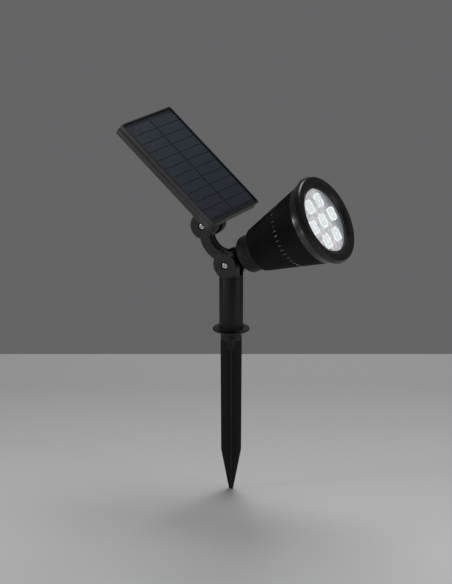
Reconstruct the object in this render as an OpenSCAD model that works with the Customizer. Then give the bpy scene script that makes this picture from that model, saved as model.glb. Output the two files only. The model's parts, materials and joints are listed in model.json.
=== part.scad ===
// Solar garden spotlight on a ground spike. Millimetres.
// Origin: centre of the ground flange's underside, which rests on the soil.
// +Z is up, +X is the way the lamp head points, and every tilt hinge turns about Y.

/* [Stake] */
// Depth of the spike below the flange
spike_depth = 173; // [120:1:220]
// Width of the spike across two fins
spike_w = 21.5; // [16:0.5:30]
// Thickness of a spike fin
fin_t = 2; // [1.4:0.1:4]
// Length of the pointed end of the spike
spike_point = 44; // [25:1:70]
// Turn of the spike's fins about the post, anticlockwise from +X
spike_turn = 28.5; // [0:0.5:90]
// Diameter of the ground flange
flange_d = 37.4; // [30:0.2:60]
// Thickness of the ground flange
flange_t = 1.5; // [1.4:0.1:4]

/* [Post] */
// Outside diameter of the post tube
post_d = 24; // [20:0.5:32]
// Wall of the post tube
post_wall = 1.6; // [1.2:0.1:2.5]
// Height of the lower hinge bolt above the ground
hinge_z = 70; // [66:1:120]

/* [Hinges] */
// Diameter of the round hinge ears
ear_d = 26; // [22:0.5:32]
// Width over the two ears of a hinge
ear_span = 28.4; // [26:0.2:34]
// Thickness of the tilt arm
arm_t = 11.5; // [9:0.5:13]
// Width of the tilt arm's bar
arm_w = 12.7; // [9:0.1:15]
// Radius of the tilt arm's bend
arm_bend = 22.5; // [20:0.5:26]
// Centre of that bend, above the lower hinge bolt
bend_rise = 28.5; // [26:0.5:32]
// Upper hinge bolt, behind the lower one
upper_back = 25.8; // [20:0.2:40]
// Upper hinge bolt, above the lower one
upper_rise = 37; // [32:0.5:60]
// Thread diameter of the hinge bolts
bolt_d = 4; // [3:0.5:5]

/* [Solar panel] */
// Length of the panel, up its slope
panel_l = 135; // [120:1:180]
// Width of the panel
panel_w = 95; // [80:1:120]
// Thickness of the panel
panel_t = 10.5; // [9:0.5:16]
// Tilt of the panel from level
panel_tilt = 40.2; // [30:0.1:50]
// Distance from the upper hinge to the panel's back
panel_rise = 22; // [20:0.5:30]
// Panel beyond the upper hinge at its low end
panel_over = 14.8; // [12:0.2:24]
// Rows of cells along the length
cell_rows = 11; // [8:1:14]

/* [Lamp head] */
// Elevation of the lamp head's axis
head_tilt = 29.3; // [20:0.1:35]
// Hinge bolt to the rear face of the head
head_gap = 20; // [18:0.5:24]
// Diameter of the rear cap
cap_d = 38; // [34:0.5:44]
// Length of the rear cap
cap_l = 13; // [10:0.5:18]
// Hinge bolt to the front of the head
head_reach = 120.8; // [115:0.1:135]
// Outside diameter of the bezel
bezel_d = 90; // [84:0.5:100]
// Diameter of the clear window in the bezel
window_d = 64.8; // [60:0.2:68]
// Radius of the ring of six outer optics
optic_ring_r = 21.5; // [20:0.1:22]
// Turn of that ring about the head's axis
optic_turn = 35; // [0:1:60]

/* [Hidden] */
$fn = 96;

black = [0.09, 0.09, 0.1];
satin = [0.16, 0.16, 0.17];
steel = [0.78, 0.79, 0.8];
rubber = [0.05, 0.05, 0.05];
eps = 0.01;
run_gap = 0.05;

// Stake
spike_r = spike_w / 2;
flange_r = flange_d / 2;
neck_r = 10.6;
neck_h = 6;
collar_h = 3.6;
plug_r = 3.2;
plug_l = 12;
boss_r = 4.4;
tip_w = 2.2;
bead_r = 0.8;
flange_edge = 0.65;

// Post and its swivel on the flange
post_r = post_d / 2;
post_in = post_r - post_wall;
washer_t = 0.6;
tube_z0 = flange_t + washer_t;
spigot_top = 22;
rib_t = 2;
rib_in = 8.5;
clip_t = 1.1;
clip_seat = spigot_top + rib_t + 0.5;
ear_r = ear_d / 2;
ear_y = ear_span / 2;
slot_y = arm_t / 2 + 0.55;
yoke_seat = hinge_z - ear_r + 0.6;

// Hinge bolts
bolt_r = bolt_d / 2;
head_r = 3.4;
head_h = 2.8;
sink_r = 4;
sink_h = 2.8;
ear_edge = 0.9;
nut_r = 4.05;
nut_h = 3.2;
knuckle_r = 11.4;
fork_y = 3.1;
tongue_t = 5.8;
tongue_r = 11;

// Tilt arm: an arc from the upper bolt to the top of the lower knuckle, hollow side forwards
bend_drop = upper_rise - bend_rise;
bend_x = sqrt(arm_bend * arm_bend - bend_drop * bend_drop) - upper_back;
bend_from = 180 - asin(bend_drop / arm_bend);
bend_to = 270 - atan2(bend_x, bend_rise);
plate_t = arm_t / 2 - fork_y;
bar_edge = 1.6;
core_y = fork_y - 0.05;
core_inset = 0.3;
core_clear_r = 13;
arm_screw_r = 1;

// Panel layers, measured from the upper hinge along the panel's normal
back_z = panel_rise;
face_z = panel_rise + panel_t;
seam_z = face_z - 3.3;
panel_cx = panel_over - panel_l / 2;
corner_r = 3;
frame_lip = 2.2;
board_t = 1.2;
cell_t = 0.3;
window_t = 0.7;
window_z = face_z - 0.4 - window_t;
cell_z = window_z - cell_t - 0.1;
board_z = cell_z - board_t;
cell_end = 6;
cell_side = 3.2;
cell_gap = 1.2;
cell_mid = 2.6;
cell_pitch = (panel_l - 2 * cell_end) / cell_rows;
cell_w = (panel_w - 2 * cell_side - cell_mid) / 2;
cover_wall = 2;
skirt_h = 1.1;
screw_x = panel_l / 2 - 7;
screw_y = panel_w / 2 - 7;
bracket_l = 41.6;
bracket_w = 30;
bracket_t = 3;
bracket_x = -9.2;
bracket_holes = [[-24, -9.5], [-24, 9.5], [6, 0]];
button_x = panel_cx - 38;
button_r = 4;
button_h = 1.6;

// Lamp head stations along its axis, from the hinge bolt
cap_r = cap_d / 2;
cap_front = head_gap + cap_l;
shoulder = 4.5;
cone_s0 = cap_front + shoulder;
cone_r0 = cap_r + 3.7;
cone_s1 = head_reach - 14.3;
cone_r1 = bezel_d / 2 - 4.4;
rim_s1 = head_reach - 7.8;
shell_t = 2;
web_t = 2;
bezel_r = bezel_d / 2;
window_r = window_d / 2;
glass_s = head_reach - 2.6;
glass_t = 2;
rim_pin_r = window_r + 3.1;
web_s = cap_front + 6.2;
optic_h = 10;
optic_r = 9.8;
carrier_t = 1.2;
chip_s = glass_s - glass_t - 0.4 - optic_h - 1.6;
ledboard_t = 1.6;
spreader_t = 3;
ledge_s = chip_s - ledboard_t - spreader_t - 0.05;
battery_r = 9.2;
battery_l = 65;
battery_s = head_gap + 7.5;
battery_x = -5;
spigot_l = 6;
cap_screw_r = 13.2;
neck_w = 17;
neck_t = 11;
neck_l = 4.6;
cap_floor_t = 3;
root_w = 12;
root_s = head_gap + 0.8;
sunk_h = 1.7;
mouth_r = window_r + 4.1;
brow_r = 1.6;
brow_drop = 5.2;
inlet_x = 12.4;
control_x = 8;

function cone_r(s) = cone_r0 + (cone_r1 - cone_r0) * (s - cone_s0) / (cone_s1 - cone_s0);
// Points of an arc about [cx, cy], from angle a0 to a1
function arc(cx, cy, r, a0, a1, n = 12) =
    [for (i = [0 : n]) [cx + r * cos(a0 + (a1 - a0) * i / n), cy + r * sin(a0 + (a1 - a0) * i / n)]];

// Frames: the lower hinge along the head's axis, and the upper hinge along the panel's normal
module at_lower_hinge() {
    translate([0, 0, hinge_z]) children();
}

module at_head() {
    at_lower_hinge() rotate([0, 90 - head_tilt, 0]) children();
}

module at_upper_hinge() {
    translate([-upper_back, 0, hinge_z + upper_rise]) children();
}

module at_panel() {
    at_upper_hinge() rotate([0, panel_tilt, 0]) children();
}

// Turns a shape drawn along +Z so that it runs along -Y
module along_hinge() {
    rotate([90, 0, 0]) children();
}

module ring(r_out, r_in, h) {
    difference() {
        cylinder(r = r_out, h = h);
        translate([0, 0, -1]) cylinder(r = r_in, h = h + 2);
    }
}

module rounded_slab(l, w, r, h) {
    linear_extrude(h) {
        square([l - 2 * r, w], center = true);
        square([l, w - 2 * r], center = true);
        for (x = [-1, 1], y = [-1, 1])
            translate([x * (l / 2 - r), y * (w / 2 - r)]) circle(r);
    }
}

// A pan-head cross-recess screw: head up, underside of the head at z = 0
module pan_screw(shank_r, shank_l, top_r, top_h) {
    difference() {
        union() {
            translate([0, 0, -shank_l]) cylinder(r = shank_r, h = shank_l + eps);
            rotate_extrude() polygon(concat(
                [[0, 0], [top_r, 0]],
                arc(top_r - top_h * 0.6, top_h * 0.4, top_h * 0.6, 0, 90, 6),
                [[0, top_h]]));
        }
        for (turn = [0, 90])
            rotate(turn)
                translate([-top_r * 0.6, -top_r * 0.13, top_h * 0.42])
                    cube([top_r * 1.2, top_r * 0.26, top_h]);
    }
}

module hinge_bolt() {
    along_hinge() translate([0, 0, ear_y - sink_h]) {
        pan_screw(bolt_r, 2 * ear_y - sink_h - 0.4, head_r, head_h);
    }
}

module hinge_nut() {
    along_hinge() translate([0, 0, -ear_y + 0.3]) difference() {
        cylinder(r = nut_r, h = nut_h, $fn = 6);
        translate([0, 0, -1]) cylinder(r = bolt_r + eps, h = nut_h + 2);
    }
}

module hinge_washers() {
    for (side = [-1, 1])
        along_hinge() translate([0, 0, side * (slot_y - 0.275) - 0.25])
            ring(8.2, bolt_r + 0.06, 0.5);
}

// The bolt hole through both ears, with the head's sink and the nut's hexagonal seat
module hinge_holes() {
    along_hinge() {
        translate([0, 0, -ear_y - 1]) cylinder(r = bolt_r + eps, h = ear_span + 2);
        translate([0, 0, ear_y - sink_h]) cylinder(r = sink_r, h = sink_h + 1);
        translate([0, 0, -ear_y - 1]) cylinder(r = nut_r + 0.1, h = nut_h + 1.3, $fn = 6);
    }
}

// Two round ears with rounded rims
module ear_pair() {
    for (side = [0, 180])
        rotate([0, 0, side]) along_hinge() translate([0, 0, slot_y])
            rotate_extrude() polygon(concat(
                [[0, 0], [ear_r, 0]],
                arc(ear_r - ear_edge, ear_y - slot_y - ear_edge, ear_edge, 0, 90, 5),
                [[0, ear_y - slot_y]]));
}

// Stake
module fin() {
    blade_top = -neck_h - collar_h;
    rotate([90, 0, 0]) translate([0, 0, -fin_t / 2]) linear_extrude(fin_t)
        polygon([
            [-spike_r, blade_top + eps], [spike_r, blade_top + eps],
            [spike_r - 0.5, spike_point - spike_depth], [tip_w, 0.8 - spike_depth],
            [tip_w - 1, -spike_depth], [1 - tip_w, -spike_depth],
            [-tip_w, 0.8 - spike_depth], [0.5 - spike_r, spike_point - spike_depth]]);
}

module ground_spike() {
    color(black) rotate(spike_turn) difference() {
        union() {
            fin();
            rotate(90) fin();
            translate([0, 0, -neck_h - collar_h]) cylinder(r = spike_r - 0.1, h = collar_h);
            translate([0, 0, -neck_h - plug_l - 2]) cylinder(r = boss_r, h = plug_l + 2);
            translate([-1.2, -spike_r + 0.4, -neck_h - 1]) cube([2.4, 1.2, 5]);
        }
        translate([0, 0, -neck_h - plug_l]) cylinder(r = plug_r, h = plug_l + 1);
    }
}

module ground_flange() {
    spigot_r = post_in - run_gap;
    color(black) difference() {
        rotate_extrude() polygon(concat(
            [[0, -neck_h - plug_l + 0.4], [plug_r - 0.6, -neck_h - plug_l + 0.4],
             [plug_r, -neck_h - plug_l + 1], [plug_r, -neck_h],
             [neck_r, -neck_h], [neck_r, 0], [flange_r - flange_edge, 0]],
            arc(flange_r - flange_edge, flange_edge, flange_edge, -90, 0, 4),
            arc(flange_r - flange_edge, flange_t - flange_edge, flange_edge, 0, 90, 4),
            [[post_r + 0.4 + bead_r, flange_t]],
            arc(post_r + 0.4 + bead_r, flange_t + bead_r, bead_r, 270, 180, 6),
            [[post_r + 0.3, flange_t + bead_r], [post_r + 0.3, flange_t],
             [spigot_r, flange_t], [spigot_r, spigot_top],
             [rib_in - 0.1, spigot_top], [rib_in - 0.1, clip_seat],
             [rib_in - 0.9, clip_seat], [rib_in - 0.9, clip_seat + clip_t + 0.1],
             [rib_in - 0.1, clip_seat + clip_t + 0.1], [rib_in - 0.1, clip_seat + 3],
             [0, clip_seat + 3]]));
        translate([0, 0, -2]) cylinder(r = 6, h = spigot_top + 20);
        rotate(spike_turn) translate([-1.4, -neck_r - 1, -neck_h - 1]) cube([2.8, 2.4, 5.2]);
    }
}

module swivel_clip() {
    color(steel) translate([0, 0, clip_seat + 0.05]) difference() {
        ring(post_in - 0.5, rib_in - 0.85, clip_t);
        translate([-1.5, 0, -1]) cube([3, post_r, clip_t + 2]);
    }
}

// Post
module post_tube() {
    top = yoke_seat;
    color(satin) rotate_extrude() polygon([
        [post_in, tube_z0], [post_r - 0.3, tube_z0], [post_r, tube_z0 + 0.3],
        [post_r, top], [post_in, top],
        [post_in, spigot_top + rib_t + 0.2], [rib_in, spigot_top + rib_t + 0.2],
        [rib_in, spigot_top + 0.2], [post_in, spigot_top + 0.2]]);
}

module swivel_washer() {
    color("ivory") translate([0, 0, flange_t + 0.05]) ring(post_r - 0.2, post_in + 0.1, washer_t - 0.1);
}

module post_yoke() {
    seat_drop = 20;
    floor_z = -knuckle_r - 0.5;
    wedge_w = 1.24 * ear_r;
    color(satin) at_lower_hinge() difference() {
        union() {
            ear_pair();
            translate([0, 0, yoke_seat - hinge_z + 0.02])
                cylinder(r = post_r, h = ear_r - 1);
            translate([0, 0, yoke_seat - hinge_z - seat_drop])
                cylinder(r = post_in - 0.03, h = seat_drop + 1);
            for (side = [-1, 1])
                translate([-wedge_w / 2, side * (slot_y + ear_y) / 2 - (ear_y - slot_y) / 2, -ear_r + 2])
                    cube([wedge_w, ear_y - slot_y, 6]);
        }
        along_hinge() translate([0, 0, -slot_y]) linear_extrude(2 * slot_y) {
            circle(knuckle_r + 0.5);
            translate([-2 * ear_r, floor_z + 0.15]) square([2 * ear_r, 2 * ear_r]);
        }
        translate([-1, -fork_y - 0.2, floor_z + 0.3]) cube([2 * ear_r, 2 * fork_y + 0.4, 2 * ear_r]);
        translate([0, 0, yoke_seat - hinge_z - seat_drop - 1]) cylinder(r = 5, h = seat_drop + 3);
        hinge_holes();
    }
}

module lower_hinge_bolt() {
    color(steel) at_lower_hinge() hinge_bolt();
}

module lower_hinge_nut() {
    color(steel) at_lower_hinge() hinge_nut();
}

module lower_hinge_washers() {
    color("ivory") at_lower_hinge() hinge_washers();
}

// Tilt arm: two side plates on a core. The core stops short of the lower bolt, so that the plates
// fork round the head's knuckle. In this frame x and y of an outline run along +X and +Z.
module bent_bar(section) {
    along_hinge() translate([bend_x, bend_rise, 0]) rotate(bend_from)
        rotate_extrude(angle = bend_to - bend_from) translate([arm_bend - arm_w / 2, 0]) polygon(section);
}

// A round knuckle from depth 0 to depth h, with one rounded rim
module knuckle(r, h, edge) {
    along_hinge() rotate_extrude()
        polygon(concat([[0, 0], [r, 0]], arc(r - edge, h - edge, edge, 0, 90, 4), [[0, h]]));
}

module at_arm_ends() {
    children();
    translate([-upper_back, 0, upper_rise]) children();
}

// The near plate: the far one is its mirror image
module arm_plate() {
    translate([0, -fork_y, 0]) difference() {
        union() {
            translate([0, -0.1, 0]) bent_bar(concat(
                [[0, 0], [arm_w, 0]],
                arc(arm_w - bar_edge, plate_t - 0.3 - bar_edge, bar_edge, 0, 90, 5),
                arc(bar_edge, plate_t - 0.3 - bar_edge, bar_edge, 90, 180, 5)));
            at_arm_ends() knuckle(knuckle_r, plate_t, 0.8);
        }
        at_arm_ends() along_hinge() translate([0, 0, -1]) cylinder(r = bolt_r + run_gap, h = plate_t + 2);
    }
}

module arm_screw_places() {
    for (turn = [188, 216, 244])
        translate([bend_x + arm_bend * cos(turn), 0, bend_rise + arm_bend * sin(turn)]) children();
}

module arm_plates() {
    color(satin) at_lower_hinge() difference() {
        union() {
            arm_plate();
            mirror([0, 1, 0]) arm_plate();
        }
        arm_screw_places() {
            along_hinge() translate([0, 0, -arm_t]) cylinder(r = arm_screw_r, h = arm_t + fork_y + 1.6);
            along_hinge() translate([0, 0, -arm_t]) cylinder(r = 2.2, h = arm_t - fork_y - 0.9);
        }
    }
}

module arm_core() {
    color(satin) at_lower_hinge() difference() {
        union() {
            translate([0, core_y, 0]) bent_bar([
                [core_inset, 0], [arm_w - core_inset, 0],
                [arm_w - core_inset, 2 * core_y], [core_inset, 2 * core_y]]);
            translate([-upper_back, core_y - 0.05, upper_rise])
                knuckle(knuckle_r - core_inset, 2 * core_y - 0.1, 0.1);
        }
        along_hinge() translate([0, 0, -fork_y]) cylinder(r = core_clear_r, h = 2 * fork_y);
        arm_screw_places() along_hinge() translate([0, 0, -fork_y]) cylinder(r = arm_screw_r, h = 2 * fork_y);
        translate([-upper_back, 0, upper_rise]) along_hinge()
            translate([0, 0, -fork_y]) cylinder(r = bolt_r + run_gap, h = 2 * fork_y);
    }
}

module arm_screws() {
    color(steel) at_lower_hinge() arm_screw_places() translate([0, fork_y + 0.95, 0])
        rotate([-90, 0, 0]) pan_screw(arm_screw_r - 0.02, 2 * fork_y + 2.2, 1.9, 1.3);
}

// Panel: everything below is drawn in the panel's frame, x down the slope and z along the normal
module panel_corners(inset_x, inset_y) {
    for (x = [-1, 1], y = [-1, 1])
        translate([panel_cx + x * inset_x, y * inset_y, 0]) children();
}

module bracket_screw_places() {
    for (hole = bracket_holes)
        translate([hole[0], hole[1], 0]) children();
}

module panel_bracket() {
    web_back = ear_r - 0.6;
    web_front = 3;
    color(satin) at_panel() difference() {
        union() {
            translate([bracket_x, 0, back_z - bracket_t]) rounded_slab(bracket_l, bracket_w, 4, bracket_t);
            ear_pair();
            for (side = [-1, 1])
                translate([-web_back, side * (slot_y + ear_y - 0.6) / 2 - (ear_y - slot_y - 0.6) / 2, 0])
                    cube([web_back + web_front, ear_y - slot_y - 0.6, back_z - bracket_t + 0.5]);
        }
        hinge_holes();
        bracket_screw_places() translate([0, 0, back_z - bracket_t - 1]) cylinder(r = 1.6, h = bracket_t + 2);
    }
}

module bracket_screws() {
    color(steel) at_panel() bracket_screw_places()
        translate([0, 0, back_z - bracket_t]) rotate([180, 0, 0]) pan_screw(1.45, bracket_t + 3.6, 2.8, 1.8);
}

module upper_hinge_bolt() {
    color(steel) at_upper_hinge() rotate([0, panel_tilt, 0]) hinge_bolt();
}

module upper_hinge_nut() {
    color(steel) at_upper_hinge() rotate([0, panel_tilt, 0]) hinge_nut();
}

module upper_hinge_washers() {
    color("ivory") at_upper_hinge() hinge_washers();
}

// Outer form of the back cover: a shallow tray with bulging walls, and a skirt round its back
module cover_form() {
    translate([panel_cx, 0, 0]) hull() {
        translate([0, 0, back_z - skirt_h])
            rounded_slab(panel_l - 2.4, panel_w - 2.4, corner_r, 0.1, $fn = 32);
        translate([0, 0, back_z])
            rounded_slab(panel_l - 1.6, panel_w - 1.6, corner_r, 4.4, $fn = 32);
        translate([0, 0, seam_z - 0.1])
            rounded_slab(panel_l - 2, panel_w - 2, corner_r, 0.1, $fn = 32);
    }
}

module panel_back_cover() {
    color(black) at_panel() difference() {
        union() {
            difference() {
                cover_form();
                translate([panel_cx, 0, back_z + cover_wall])
                    rounded_slab(panel_l - 7, panel_w - 7, corner_r, panel_t);
                translate([panel_cx, 0, back_z - skirt_h - 1])
                    rounded_slab(panel_l - 5, panel_w - 5, corner_r - 1, skirt_h + 1);
            }
            bracket_screw_places() translate([0, 0, back_z + 0.5]) cylinder(r = 3.4, h = 4.5);
            panel_corners(screw_x, screw_y) translate([0, 0, back_z + 0.5]) cylinder(r = 3.6, h = 2.6);
        }
        bracket_screw_places() translate([0, 0, back_z - 1]) cylinder(r = 1.45, h = 5);
        panel_corners(screw_x, screw_y) {
            translate([0, 0, back_z - 1]) cylinder(r = 1.6, h = 6);
            translate([0, 0, back_z - 1]) cylinder(r = 3, h = 2.2);
        }
        translate([button_x, 0, back_z - 1]) cylinder(r = button_r + 0.3, h = 5);
        translate([panel_cx + 26, 22, back_z - 1]) cylinder(r = 2.6, h = 5);
    }
}

module panel_frame() {
    color(black) at_panel() difference() {
        union() {
            difference() {
                translate([panel_cx, 0, seam_z + 0.15])
                    rounded_slab(panel_l, panel_w, corner_r, face_z - seam_z - 0.15);
                translate([panel_cx, 0, seam_z - 1])
                    rounded_slab(panel_l - 2 * frame_lip, panel_w - 2 * frame_lip, corner_r - 1, panel_t);
            }
            difference() {
                translate([panel_cx, 0, seam_z + 0.15])
                    rounded_slab(panel_l - 1, panel_w - 1, corner_r, board_z - seam_z - 0.4);
                translate([panel_cx, 0, seam_z - 1])
                    rounded_slab(panel_l - 11, panel_w - 11, corner_r, panel_t);
            }
            panel_corners(screw_x, screw_y)
                translate([0, 0, back_z + 3.3]) cylinder(r = 3.4, h = board_z - back_z - 3.6);
        }
        panel_corners(screw_x, screw_y)
            translate([0, 0, back_z]) cylinder(r = 1.2, h = board_z - back_z - 1);
    }
}

module panel_gasket() {
    color(rubber) at_panel() translate([panel_cx, 0, seam_z - 0.9]) difference() {
        rounded_slab(panel_l - 7.2, panel_w - 7.2, corner_r, 1);
        translate([0, 0, -1]) rounded_slab(panel_l - 9.4, panel_w - 9.4, corner_r - 1, 3);
        panel_corners_cut();
    }
}

module panel_corners_cut() {
    for (x = [-1, 1], y = [-1, 1])
        translate([x * screw_x, y * screw_y, -1]) cylinder(r = 3.7, h = 3);
}

module panel_cover_screws() {
    color(steel) at_panel() panel_corners(screw_x, screw_y)
        translate([0, 0, back_z + 1.2]) rotate([180, 0, 0]) pan_screw(1.15, 5.4, 2.6, 1.3);
}

module panel_cable_grommet() {
    color(rubber) at_panel() translate([panel_cx + 26, 22, back_z - 2]) difference() {
        rotate_extrude() polygon([
            [0, 0], [3.2, 0], [4.4, 1.2], [4.4, 1.95], [2.55, 1.95], [2.55, 4.1], [3.5, 4.1],
            [3.5, 4.9], [0, 4.9]]);
        translate([0, 0, 1.5]) rotate([180, 0, 0]) cylinder(r = 1.6, h = 3);
    }
}

module cell_board() {
    color([0.05, 0.06, 0.1]) at_panel() translate([panel_cx, 0, board_z])
        rounded_slab(panel_l - 2 * frame_lip - 0.4, panel_w - 2 * frame_lip - 0.4, 1.8, board_t);
}

// Two columns of slim cells, set side by side up the slope
module each_cell() {
    for (row = [0 : cell_rows - 1], side = [-1, 1])
        translate([
            panel_cx - panel_l / 2 + cell_end + (row + 0.5) * cell_pitch,
            side * (cell_w + cell_mid) / 2,
            cell_z + 0.1])
            children();
}

module solar_cells() {
    color([0.16, 0.19, 0.25]) at_panel() each_cell()
        translate([-(cell_pitch - cell_gap) / 2, -cell_w / 2, 0])
            cube([cell_pitch - cell_gap, cell_w, cell_t - 0.06]);
}

module cell_ribbons() {
    color(steel) at_panel() for (side = [-1, 1], run = [-1, 1])
        translate([
            panel_cx - panel_l / 2 + cell_end - 1.5,
            side * (cell_w + cell_mid) / 2 + run * cell_w / 4 - 0.5,
            cell_z + 0.02])
            cube([panel_l - 2 * cell_end + 3, 1, 0.06]);
}

module panel_window() {
    color([0.5, 0.6, 0.7, 0.35]) at_panel() translate([panel_cx, 0, window_z + 0.03])
        rounded_slab(panel_l - 2 * frame_lip - 0.2, panel_w - 2 * frame_lip - 0.2, 1.9, window_t);
}

module blocking_diode() {
    color("dimgray") at_panel() translate([panel_cx + 40, -14, board_z - 2.9]) {
        rotate([0, 90, 0]) cylinder(r = 1.35, h = 5.2);
        translate([-4, -0.3, 0]) cube([13.2, 0.6, 0.6]);
        for (x = [-4, 8.6])
            translate([x, -0.3, 0]) cube([0.6, 0.6, 2.85]);
    }
}

module button_switch() {
    color("dimgray") at_panel() translate([button_x, 0, 0]) {
        translate([-3, -3, board_z - 3.4]) cube([6, 6, 3.35]);
        translate([0, 0, board_z - 3.7]) cylinder(r = 1.7, h = 0.4);
    }
}

module button_guard() {
    color(rubber) at_panel() translate([button_x, 0, back_z - 1.2])
        ring(button_r + 2.4, button_r + 0.35, 1.2);
}

module power_button() {
    color([0.3, 0.31, 0.33]) at_panel() translate([button_x, 0, back_z - button_h]) {
        rotate_extrude() polygon(concat(
            [[0, 0]],
            arc(button_r - 0.8, 0.8, 0.8, -90, 0, 4),
            [[button_r, button_h + 2.1], [0, button_h + 2.1]]));
        translate([0, 0, 1]) cylinder(r = 1.5, h = board_z - 3.7 - 1.3 - back_z + button_h - 1);
    }
}

// Lamp head: everything below is drawn in the head's frame, z along its axis from the hinge bolt
module cap_screw_places() {
    for (turn = [50, 105, 255, 310])
        rotate(turn) translate([cap_screw_r, 0, 0]) children();
}

// The head's side of the lower hinge: a flat tongue whose root sits in a pocket of the rear cap
module head_knuckle() {
    neck_s = head_gap - neck_l;
    color(satin) at_head() difference() {
        union() {
            along_hinge() translate([0, 0, -tongue_t / 2]) cylinder(r = tongue_r, h = tongue_t);
            translate([-neck_w / 2, -tongue_t / 2 + 0.05, 0]) cube([neck_w, tongue_t - 0.1, neck_s - 0.05]);
            translate([-root_w / 2, -tongue_t / 2 + 0.1, neck_s - 2])
                cube([root_w, tongue_t - 0.2, root_s - neck_s + 2]);
        }
        along_hinge() translate([0, 0, -tongue_t]) cylinder(r = bolt_r + run_gap, h = 2 * tongue_t);
        knuckle_screw_places() translate([0, 0, root_s - 7]) cylinder(r = 1, h = 8);
    }
}

module knuckle_screw_places() {
    for (x = [-4, 4])
        translate([x, 0, 0]) children();
}

module knuckle_screws() {
    color(steel) at_head() knuckle_screw_places()
        translate([0, 0, head_gap + cap_floor_t + 0.05]) pan_screw(0.98, 8.2, 1.9, 1.3);
}

module rear_cap() {
    edge = 3.4;
    inner_s = head_gap + cap_floor_t;
    color(satin) at_head() difference() {
        union() {
            rotate_extrude() polygon(concat(
                [[0, head_gap]],
                arc(cap_r - edge, head_gap + edge, edge, -90, 0, 8),
                [[cap_r, cap_front], [cap_r - 2, cap_front], [cap_r - 2, cap_front + spigot_l],
                 [cap_r - 4, cap_front + spigot_l], [cap_r - 4, inner_s], [0, inner_s]]));
            translate([-neck_w / 2, -neck_t / 2, head_gap - neck_l]) cube([neck_w, neck_t, neck_l + 1]);
            cap_screw_places() translate([0, 0, head_gap + 1])
                cylinder(r = 2.3, h = cap_l + spigot_l - 1.5);
        }
        translate([-root_w / 2 - 0.05, -tongue_t / 2 + 0.05, head_gap - neck_l - 1])
            cube([root_w + 0.1, tongue_t - 0.1, root_s - head_gap + neck_l + 1.05]);
        knuckle_screw_places() translate([0, 0, head_gap]) cylinder(r = 1.1, h = 2 * cap_floor_t);
        cap_screw_places() {
            translate([0, 0, head_gap - 1]) cylinder(r = 1.4, h = cap_l + spigot_l + 2);
            translate([0, 0, head_gap - 1]) cylinder(r = 2.6, h = sunk_h + 1);
        }
        translate([0, 0, cap_front + spigot_l / 2]) rotate_extrude()
            translate([cap_r - 2.5, 0]) square([1.2, 1.2], center = true);
        translate([inlet_x, 0, head_gap - 3]) cylinder(r = 2.1, h = 8);
    }
}

module rear_cap_seal() {
    color(rubber) at_head() translate([0, 0, cap_front + 3]) rotate_extrude()
        translate([cap_r - 2.52, 0]) circle(0.56, $fn = 24);
}

module rear_cap_screws() {
    color(steel) at_head() cap_screw_places()
        translate([0, 0, head_gap + sunk_h - 0.02]) rotate([180, 0, 0])
            pan_screw(1.3, cap_l + spigot_l + 4 - sunk_h, 2.4, sunk_h - 0.1);
}

module head_cable_grommet() {
    color(rubber) at_head() translate([inlet_x, 0, head_gap - 1.8]) difference() {
        rotate_extrude() polygon([
            [0, 0], [2.4, 0], [2.9, 1], [2.9, 1.75], [2.05, 1.75], [2.05, 4.85], [2.4, 4.85],
            [2.4, 5.6], [0, 5.6]]);
        translate([0, 0, -1]) cylinder(r = 1.4, h = 3);
    }
}

module lamp_housing() {
    in_s0 = cap_front + 0.1;
    color(satin) at_head() difference() {
        union() {
            housing_shell(in_s0);
            cap_screw_places() translate([0, 0, web_s + 0.3]) cylinder(r = 2.3, h = web_t + 3);
        }
        cap_screw_places() translate([0, 0, web_s - 1]) cylinder(r = 1.35, h = web_t + 5.5);
        pin_places() translate([0, 0, rim_s1 - 6.1]) cylinder(r = 0.8, h = 20);
    }
}

module housing_shell(in_s0) {
    rotate_extrude() polygon([
        [cap_r - 1.95, in_s0], [cap_r, in_s0], [cap_r + 0.2, in_s0 + 0.6],
        [cone_r0, cone_s0], [cone_r1, cone_s1], [cone_r1 + 0.5, cone_s1 + 0.5],
        [cone_r1 + 0.5, rim_s1], [window_r + 4.2, rim_s1],
        [window_r + 4.2, rim_s1 + 2], [window_r + 2, rim_s1 + 2],
        [window_r + 2, ledge_s], [window_r - 1, ledge_s], [window_r - 1, ledge_s - 1.5],
        [cone_r(chip_s - 12) - shell_t, chip_s - 12],
        [cone_r(web_s + web_t) - shell_t, web_s + web_t], [cap_r - 4.6, web_s + web_t],
        [cap_r - 4.6, web_s], [cap_r - 1.95, web_s]]);
}

module battery_cell() {
    color([0.2, 0.35, 0.6]) at_head() translate([battery_x, 0, battery_s]) rotate_extrude() polygon([
        [0, 0], [battery_r - 0.4, 0], [battery_r, 0.4], [battery_r, battery_l - 1.4],
        [battery_r - 0.4, battery_l - 1], [3, battery_l - 1], [3, battery_l], [0, battery_l]]);
}

module battery_holder() {
    color(black) at_head() translate([battery_x, 0, 0]) difference() {
        translate([-2, -battery_r - 0.9, battery_s - 2.4])
            cube([battery_r + 3.2, 2 * battery_r + 1.8, battery_l + 5.4]);
        translate([0, 0, battery_s - 0.9]) cylinder(r = battery_r + 0.15, h = battery_l + 2.4);
    }
}

module battery_contacts() {
    color(steel) at_head() translate([battery_x, 0, 0]) {
        for (turn = [0 : 2])
            translate([0, 0, battery_s - 0.7 + 0.05 * turn]) ring(5 - turn * 1.3, 4.3 - turn * 1.3, 0.5);
        translate([-3, -4, battery_s + battery_l + 0.1]) cube([6, 8, 0.5]);
    }
}

module controller_board() {
    color([0.05, 0.3, 0.14]) at_head() difference() {
        translate([control_x, -14, cone_s0 + 8]) cube([1.6, 28, 42]);
        for (y = [-11, 11])
            translate([control_x - 1, y, cone_s0 + 11]) rotate([0, 90, 0]) cylinder(r = 1, h = 4);
    }
}

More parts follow.
